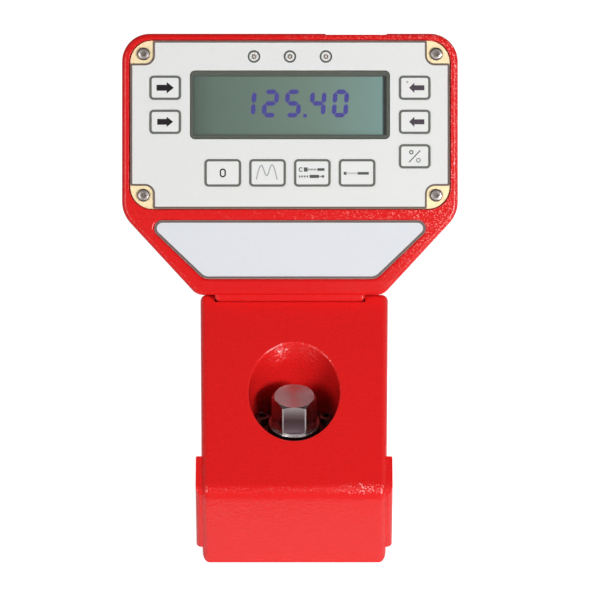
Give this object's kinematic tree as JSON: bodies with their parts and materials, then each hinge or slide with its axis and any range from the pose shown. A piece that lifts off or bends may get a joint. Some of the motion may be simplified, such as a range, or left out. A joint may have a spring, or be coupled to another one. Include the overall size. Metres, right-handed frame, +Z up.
{
  "type": "electronic torque tester",
  "caption": "Bench torque tester with a red cast body, an upright hexagon drive in a round well, and a tilted display head with keys and a screen.",
  "frame": {"origin": "where the drive axis meets the bench, on the underside of the base plate", "axes": "+Z up along the drive axis, -Y towards the front, +X to the right seen from the front"},
  "size_m": [0.229, 0.2563, 0.2849],
  "materials": {
    "battery_blue": "satin",
    "black_plastic": "matte",
    "board_green": "satin",
    "bright_steel": "satin",
    "clear_pane": "gloss",
    "dark_steel": "satin",
    "gold_plate": "satin",
    "key_white": "satin",
    "label_white": "gloss",
    "lcd_green": "gloss",
    "led_amber": "gloss",
    "overlay_white": "satin",
    "painted_red": "satin",
    "zinc_steel": "satin"
  },
  "bodies": {
    "tester": {"base_plate": "zinc_steel", "base_screw_1": "bright_steel", "base_screw_2": "bright_steel", "base_screw_3": "bright_steel", "base_screw_4": "bright_steel", "battery_pack": "battery_blue", "board_pillar_1": "bright_steel", "board_pillar_2": "bright_steel", "board_pillar_3": "bright_steel", "board_pillar_4": "bright_steel", "body_casting": "painted_red", "cable_plug": "key_white", "data_port": "bright_steel", "display_module": "lcd_green", "display_pane": "clear_pane", "head_bolt_1": "dark_steel", "head_bolt_2": "dark_steel", "head_casting": "painted_red", "key_board": "board_green", "label_plate": "label_white", "led_1": "led_amber", "led_2": "led_amber", "led_3": "led_amber", "main_board": "board_green", "panel_overlay": "overlay_white", "panel_plate": "gold_plate", "panel_screw_1": "bright_steel", "panel_screw_2": "bright_steel", "panel_screw_3": "bright_steel", "panel_screw_4": "bright_steel", "power_inlet": "black_plastic", "signal_cable": "black_plastic", "switch_frame": "black_plastic", "transducer": "bright_steel", "transducer_screw_1": "dark_steel", "transducer_screw_2": "dark_steel", "transducer_screw_3": "dark_steel", "transducer_screw_4": "dark_steel", "transducer_screw_5": "dark_steel", "transducer_screw_6": "dark_steel"},
    "key_curve_body": {"key_curve": "key_white"},
    "key_left_1_body": {"key_left_1": "key_white"},
    "key_left_2_body": {"key_left_2": "key_white"},
    "key_one_tool_body": {"key_one_tool": "key_white"},
    "key_percent_body": {"key_percent": "key_white"},
    "key_right_1_body": {"key_right_1": "key_white"},
    "key_right_2_body": {"key_right_2": "key_white"},
    "key_two_tools_body": {"key_two_tools": "key_white"},
    "key_zero_body": {"key_zero": "key_white"},
    "rocker_body": {"power_rocker": "black_plastic"}
  },
  "joints": [
    {"name": "key_curve_press", "type": "slide", "parent": "tester", "child": "key_curve_body", "axis": [0, 0.8192, -0.5736], "range_m": [0, 0.0004], "stiffness_N_per_m": 2500},
    {"name": "key_left_1_press", "type": "slide", "parent": "tester", "child": "key_left_1_body", "axis": [0, 0.8192, -0.5736], "range_m": [0, 0.0004], "stiffness_N_per_m": 2500},
    {"name": "key_left_2_press", "type": "slide", "parent": "tester", "child": "key_left_2_body", "axis": [0, 0.8192, -0.5736], "range_m": [0, 0.0004], "stiffness_N_per_m": 2500},
    {"name": "key_one_tool_press", "type": "slide", "parent": "tester", "child": "key_one_tool_body", "axis": [0, 0.8192, -0.5736], "range_m": [0, 0.0004], "stiffness_N_per_m": 2500},
    {"name": "key_percent_press", "type": "slide", "parent": "tester", "child": "key_percent_body", "axis": [0, 0.8192, -0.5736], "range_m": [0, 0.0004], "stiffness_N_per_m": 2500},
    {"name": "key_right_1_press", "type": "slide", "parent": "tester", "child": "key_right_1_body", "axis": [0, 0.8192, -0.5736], "range_m": [0, 0.0004], "stiffness_N_per_m": 2500},
    {"name": "key_right_2_press", "type": "slide", "parent": "tester", "child": "key_right_2_body", "axis": [0, 0.8192, -0.5736], "range_m": [0, 0.0004], "stiffness_N_per_m": 2500},
    {"name": "key_two_tools_press", "type": "slide", "parent": "tester", "child": "key_two_tools_body", "axis": [0, 0.8192, -0.5736], "range_m": [0, 0.0004], "stiffness_N_per_m": 2500},
    {"name": "key_zero_press", "type": "slide", "parent": "tester", "child": "key_zero_body", "axis": [0, 0.8192, -0.5736], "range_m": [0, 0.0004], "stiffness_N_per_m": 2500},
    {"name": "rocker_tip", "type": "hinge", "parent": "tester", "child": "rocker_body", "pos_m": [-0.0629, 0.15532, 0.21181], "axis": [1, 0, 0], "range_deg": [0, 20]}
  ]
}
